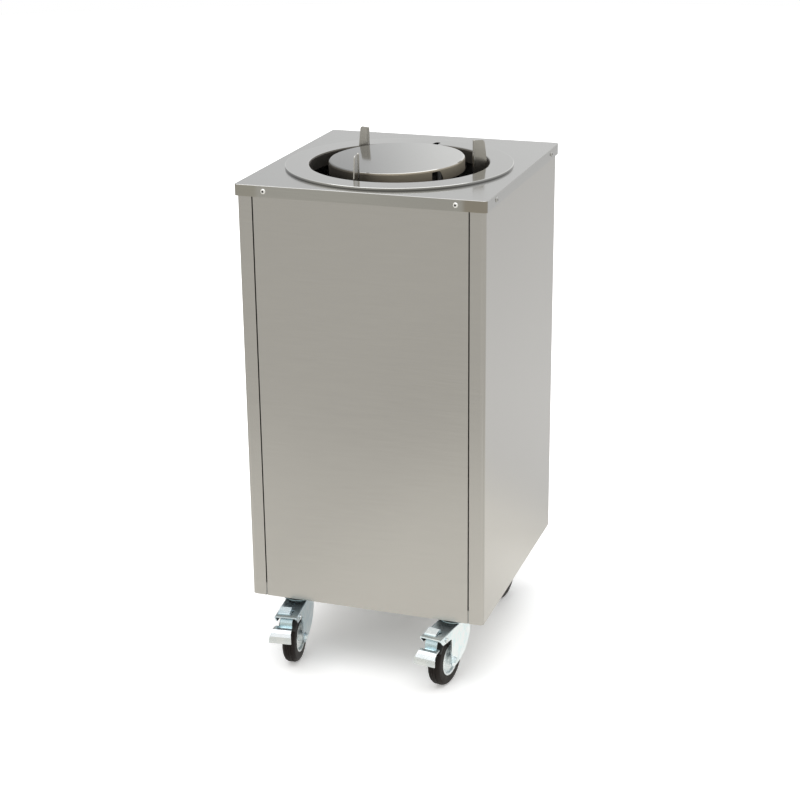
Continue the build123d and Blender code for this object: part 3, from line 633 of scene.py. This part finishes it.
def stroke(inner, outer, width, low, high, angle):
    """A flat printed bar that points away from the dial's centre, its edges a little rounded.

    The angle is from straight down, the way the knob turns."""
    shape = bmesh.new()
    bmesh.ops.create_cube(shape, size=1.0)
    bmesh.ops.scale(shape, vec=(width, high - low, outer - inner), verts=shape.verts)
    bmesh.ops.bevel(
        shape, geom=[e for e in shape.edges if abs(e.verts[0].co.y - e.verts[1].co.y) > 1e-6],
        offset=width * 0.3, segments=3, profile=0.5, affect="EDGES", material=-1,
    )
    bmesh.ops.translate(shape, vec=(0, (low + high) / 2, -(inner + outer) / 2), verts=shape.verts)
    turn = Matrix.Translation(DIAL) @ Matrix.Rotation(-angle, 4, "Y")
    bmesh.ops.transform(shape, matrix=turn, verts=shape.verts)
    return shape


def dial_marks():
    """Black ticks round the thermostat's knob, and a white line on its pointer."""
    ticks = []
    for step in range(TICK_COUNT):
        outer = END_TICK_OUT if step in (0, TICK_COUNT - 1) else TICK_OUT
        ticks.append(stroke(TICK_IN, outer, TICK_WIDTH, DIAL_FACE, DIAL_FACE + INK, TICK_TURN * step))
    piece("dial_ticks", joined(ticks), "black_plastic", "cabinet", smooth=False)
    low, high = KNOB_FACE - 0.2 * MM, KNOB_FACE + 0.05 * MM
    line = stroke(POINTER_IN, POINTER_OUT, POINTER_WIDTH, low, high, 0.0)
    piece("knob_pointer_line", line, "nylon", "thermostat_dial", smooth=False)


# ---------------------------------------------------------------- floor, light and camera
FLOOR_REACH = 9.0
FOOTPRINT = (0.225, 0.24)
PAPER = (1.0, 1.0, 1.0)
DIM_PAPER = (0.80, 0.787, 0.745)
PALE_PAPER = (0.87, 0.87, 0.865)


def floor():
    """A pale floor, white to the camera, with a painted shadow round and under the cabinet. The steel
    mirrors it with painted light: dimmer with distance, darker on the left, paler behind and brighter near
    the cabinet.
    """
    shape = bmesh.new()
    bmesh.ops.create_circle(shape, cap_ends=True, segments=64, radius=FLOOR_REACH)
    mesh = bpy.data.meshes.new("floor")
    shape.to_mesh(mesh)
    shape.free()
    plane = bpy.data.objects.new("floor", mesh)
    bpy.context.scene.collection.objects.link(plane)
    material = bpy.data.materials.new("floor_paper")
    tree = Tree(material)
    aside = abs(tree.axis("X"))
    along = tree.axis("Y") - LID_MIDDLE.y
    away = tree.most(aside - FOOTPRINT[0], abs(along) - FOOTPRINT[1])
    dim = tree.ramp(
        away, (0.0, 1.17), (0.3, 1.12), (0.45, 1.05), (0.72, 0.97), (0.95, 0.90), (1.12, 0.85),
        (1.24, 0.785), (1.9, 0.81), (3.3, 0.90), (4.5, 0.90),
    )
    pale = tree.ramp(away, (0.0, 0.90), (0.4, 0.85), (1.1, 0.87), (3.0, 0.88))
    # painted reflection: the steel mirrors the floor darker towards the left
    left = tree.ramp(tree.axis("X"), (-0.65, 0.96), (-0.33, 0.90), (-0.1, 1.0))
    behind = tree.spread(along - aside * 0.9, 0.1, 0.45)
    shade = tree.mix(behind, multiplied(tree, dim * left, DIM_PAPER), multiplied(tree, pale, PALE_PAPER))
    seen = tree.add("ShaderNodeLightPath", out="Is Camera Ray")
    matt = tree.add("ShaderNodeBsdfDiffuse", sockets={"Color": tree.mix(seen, shade, PAPER)})
    # painted shadow: the camera sees less lift near and under the cabinet
    bright = tree.ramp(
        away, (-0.25, 0.06), (-0.12, 0.14), (-0.02, 0.25), (0.10, 0.33), (0.3, 0.45), (1.5, 0.65),
    )
    mirrored = tree.add("ShaderNodeLightPath", out="Is Glossy Ray")
    # painted light: the steel mirrors the floor brighter near and under the cabinet
    painted_reflected_light = tree.ramp(away, (-0.25, 0.20), (-0.02, 0.30), (0.08, 0.14), (0.22, 0.0))
    strength = seen * bright + mirrored * painted_reflected_light
    lift = tree.add("ShaderNodeEmission", sockets={"Color": tree.colour(PAPER), "Strength": strength})
    both = tree.add("ShaderNodeAddShader", sockets={0: matt, 1: lift})
    tree.add("ShaderNodeOutputMaterial", sockets={"Surface": both})
    mesh.materials.append(material)


def world():
    """A pale room, white to the camera. The steel mirrors it warm in front, and dim behind on the left."""
    room = bpy.data.worlds.new("room")
    bpy.context.scene.world = room
    tree = Tree(room)
    way = tree.add("ShaderNodeTexCoord", out="Generated")
    aside = tree.add("ShaderNodeSeparateXYZ", sockets={0: way}, out="X")
    along = tree.add("ShaderNodeSeparateXYZ", sockets={0: way}, out="Y")
    up = tree.add("ShaderNodeSeparateXYZ", sockets={0: way}, out="Z")
    wall = tree.mix(tree.spread(aside, -0.66, -0.02), (0.60, 0.605, 0.61), (0.97, 0.97, 0.965))
    front = tree.mix(tree.spread(along, -0.6, 0.4), (0.82, 0.80, 0.74), wall)
    ceiling = tree.mix(tree.spread(up, 0.4, 0.85), front, (0.92, 0.92, 0.93))
    seen = tree.add("ShaderNodeLightPath", out="Is Camera Ray")
    colour = tree.mix(seen, ceiling, (1.0, 1.0, 1.0))
    back = tree.add("ShaderNodeBackground", sockets={"Color": colour, "Strength": 1.0})
    tree.add("ShaderNodeOutputWorld", sockets={"Surface": back})


def softbox(name, place, target, size, power):
    """A square soft light that faces the target."""
    light = bpy.data.lights.new(name, "AREA")
    light.shape = "SQUARE"
    light.size = size
    light.energy = power
    lamp = bpy.data.objects.new(name, light)
    lamp.location = place
    lamp.rotation_euler = (Vector(target) - Vector(place)).to_track_quat("-Z", "Y").to_euler()
    bpy.context.scene.collection.objects.link(lamp)


CAMERA_PLACE = Vector((1.0385, -3.0312, 1.6338))
CAMERA_AZIMUTH = radians(18.96)
CAMERA_ELEVATION = radians(19.976)
CAMERA_ROLL = radians(-0.6163)
CAMERA_LENS = 81.36


def camera():
    """Stands in front, a little to the right and above the lid."""
    data = bpy.data.cameras.new("camera")
    data.lens = CAMERA_LENS
    data.sensor_width = 36.0
    data.clip_end = 100.0
    view = bpy.data.objects.new("camera", data)
    back = Vector((
        sin(CAMERA_AZIMUTH) * cos(CAMERA_ELEVATION),
        -cos(CAMERA_AZIMUTH) * cos(CAMERA_ELEVATION),
        sin(CAMERA_ELEVATION),
    ))
    right = (-back).cross(Vector((0, 0, 1))).normalized()
    above = back.cross(right)
    level = Matrix((right, above, back)).transposed()
    turn = Matrix.Rotation(CAMERA_ROLL, 3, back) @ level
    view.matrix_world = Matrix.Translation(CAMERA_PLACE) @ turn.to_4x4()
    bpy.context.scene.collection.objects.link(view)
    bpy.context.scene.camera = view


dress()
lift_springs()
rivet_cores()
dial_marks()
floor()
world()
softbox("overhead_softbox", place=(-0.1, -0.4, 3.2), target=(0, 0, 0.3), size=3.6, power=42.0)
softbox("small_lamp", place=(-1.3, -1.6, 2.6), target=(0, 0, 0.8), size=0.35, power=1.6)
camera()
bpy.context.scene.view_settings.view_transform = "Standard"
